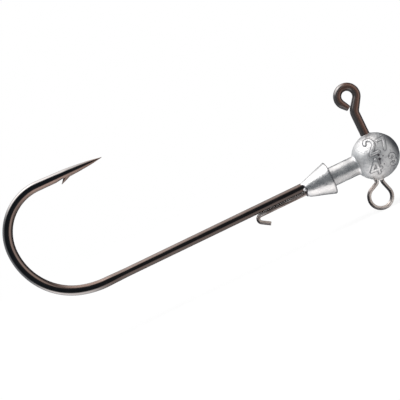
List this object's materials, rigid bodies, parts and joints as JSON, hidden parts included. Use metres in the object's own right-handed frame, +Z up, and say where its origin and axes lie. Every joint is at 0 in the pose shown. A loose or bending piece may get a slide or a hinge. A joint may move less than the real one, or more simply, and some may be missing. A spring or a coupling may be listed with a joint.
{
  "type": "jig head",
  "caption": "Ball-nosed jig head cast on a right-angle jig hook, with a line eye on top, a barbed cone and wire keeper that hold a soft bait, and a wire loop below for a trailing hook.",
  "frame": {"origin": "centre of the line eye's hole", "axes": "+X runs along the hook's shank, from the bend towards the nose of the ball. +Z runs up the eye's stem, towards the side that the hook's point is on. +Y is square to the plane of the wire, through the eye's hole"},
  "size_m": [0.1074, 0.0126, 0.0479],
  "materials": {
    "hook_plating": "black nickel plate over forged high-carbon steel, bright",
    "keeper_steel": "drawn stainless spring wire, half bright, with fine draw lines",
    "head_lead": "bare as-cast lead, silver grey, slightly grainy on the ball and smoother on the neck and cone"
  },
  "bodies": {
    "root": {"hook": "hook_plating", "keeper_wire": "keeper_steel", "lead_head": "head_lead"}
  },
  "joints": []
}
